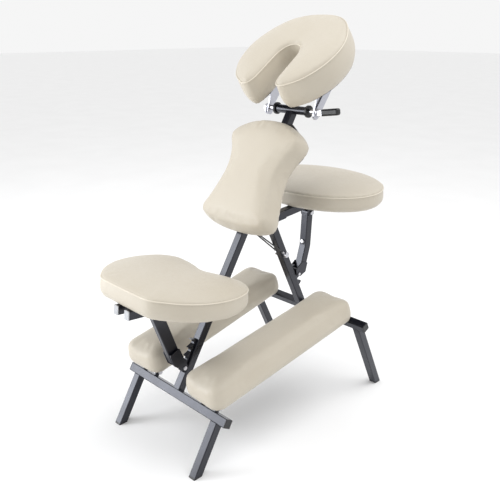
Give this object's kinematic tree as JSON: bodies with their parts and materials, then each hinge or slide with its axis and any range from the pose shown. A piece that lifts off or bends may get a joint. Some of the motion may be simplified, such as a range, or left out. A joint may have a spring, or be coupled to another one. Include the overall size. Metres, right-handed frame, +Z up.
{
  "type": "kneeling massage chair",
  "caption": "Folding kneeling massage chair: padded seat, chest pad, kneeling pads, oval arm rest and open face cushion on a leaning black square-tube frame",
  "frame": {"origin": "centre of the bounding box on the floor", "axes": "+Z up; +Y the way the seated person faces, from the seat to the arm rest; +X to the seated person's right"},
  "size_m": [0.541, 0.9277, 1.1952],
  "materials": {
    "black_steel": "gloss powder coat",
    "bright_steel": "bright zinc",
    "aluminium": "satin",
    "black_plastic": "fine texture",
    "grey_plastic": "satin",
    "black_rubber": "matt",
    "black_board": "plywood faced in black cloth",
    "cream_vinyl": "soft grained upholstery vinyl",
    "cable_black": "black sleeved wire rope"
  },
  "bodies": {
    "mast_frame": {"mast_tube": "black_steel", "front_cross_bar": "black_steel", "front_legs": "black_steel", "front_feet": "black_plastic", "front_bar_caps": "black_plastic", "seat_rack": "black_steel", "strut_bracket": "black_steel", "strut_pivot_bolt": "bright_steel", "seat_pivot_bolt": "bright_steel", "cable_eye": "bright_steel", "head_cross_tube": "black_steel", "head_collars": "black_plastic", "chest_board": "black_board", "chest_cushion": "cream_vinyl", "kneel_lugs": "black_steel", "kneel_hinge_bolts": "bright_steel"},
    "rear_frame": {"rear_strut": "black_steel", "rear_cross_bar": "black_steel", "rear_legs": "black_steel", "rear_feet": "black_plastic", "rear_bar_caps": "black_plastic", "arm_rack": "black_steel", "arm_pivot_bolt": "bright_steel", "cable_bolt": "bright_steel", "cable_lugs": "bright_steel", "limit_cable": "cable_black", "kneel_rest_blocks": "black_rubber"},
    "seat": {"seat_rails": "black_steel", "seat_rail_plugs": "grey_plastic", "seat_board": "black_board", "seat_cushion": "cream_vinyl", "seat_strut_bolt": "bright_steel"},
    "seat_prop": {"seat_strut": "black_steel", "seat_strut_fork": "black_steel", "seat_rack_pin": "bright_steel"},
    "arm_rest": {"arm_tube": "black_steel", "arm_hinge_ears": "black_steel", "arm_board": "black_board", "arm_cushion": "cream_vinyl", "arm_strut_ears": "black_steel", "arm_strut_bolt": "bright_steel"},
    "arm_prop": {"arm_strut": "black_steel", "arm_strut_fork": "black_steel", "arm_rack_pin": "bright_steel", "arm_strut_knob": "bright_steel"},
    "kneel_right": {"kneel_board_right": "black_board", "kneel_cushion_right": "cream_vinyl", "kneel_ears_right": "black_steel"},
    "kneel_left": {"kneel_board_left": "black_board", "kneel_cushion_left": "cream_vinyl", "kneel_ears_left": "black_steel"},
    "head_rest": {"head_short_arms": "aluminium", "head_long_arms": "aluminium", "head_base_board": "black_board", "head_cushion": "cream_vinyl", "head_bolt": "bright_steel", "head_washers": "bright_steel", "head_spacers": "bright_steel"},
    "cam_lever": {"cam_fork": "bright_steel", "cam_grip": "black_plastic"}
  },
  "joints": [
    {"name": "frame_fold", "type": "hinge", "parent": "mast_frame", "child": "rear_frame", "pos_m": [0, 0.06173, 0.65167], "axis": [1, 0, 0], "range_deg": [-25, 0], "deforming": ["limit_cable"]},
    {"name": "seat_tilt", "type": "hinge", "parent": "mast_frame", "child": "seat", "pos_m": [0, -0.11771, 0.42396], "axis": [1, 0, 0], "range_deg": [-13, 0]},
    {"name": "seat_prop_swing", "type": "hinge", "parent": "seat", "child": "seat_prop", "pos_m": [0, -0.36427, 0.44856], "axis": [1, 0, 0], "range_deg": [-60, 0]},
    {"name": "arm_rest_tilt", "type": "hinge", "parent": "rear_frame", "child": "arm_rest", "pos_m": [0, 0.08986, 0.59473], "axis": [1, 0, 0], "range_deg": [0, 15]},
    {"name": "arm_prop_swing", "type": "hinge", "parent": "arm_rest", "child": "arm_prop", "pos_m": [0, 0.2742, 0.58113], "axis": [1, 0, 0], "range_deg": [0, 60]},
    {"name": "kneel_right_lift", "type": "hinge", "parent": "mast_frame", "child": "kneel_right", "pos_m": [0.136, -0.27772, 0.16689], "axis": [1, 0, 0], "range_deg": [0, 33]},
    {"name": "kneel_left_lift", "type": "hinge", "parent": "mast_frame", "child": "kneel_left", "pos_m": [-0.136, -0.27772, 0.16689], "axis": [1, 0, 0], "range_deg": [0, 33]},
    {"name": "head_tilt", "type": "hinge", "parent": "mast_frame", "child": "head_rest", "pos_m": [0, 0.19011, 0.91848], "axis": [1, 0, 0], "range_deg": [-30, 15]},
    {"name": "cam_turn", "type": "hinge", "parent": "head_rest", "child": "cam_lever", "pos_m": [0.108, 0.19011, 0.91848], "axis": [0, 1, 0], "range_deg": [0, 60]}
  ]
}
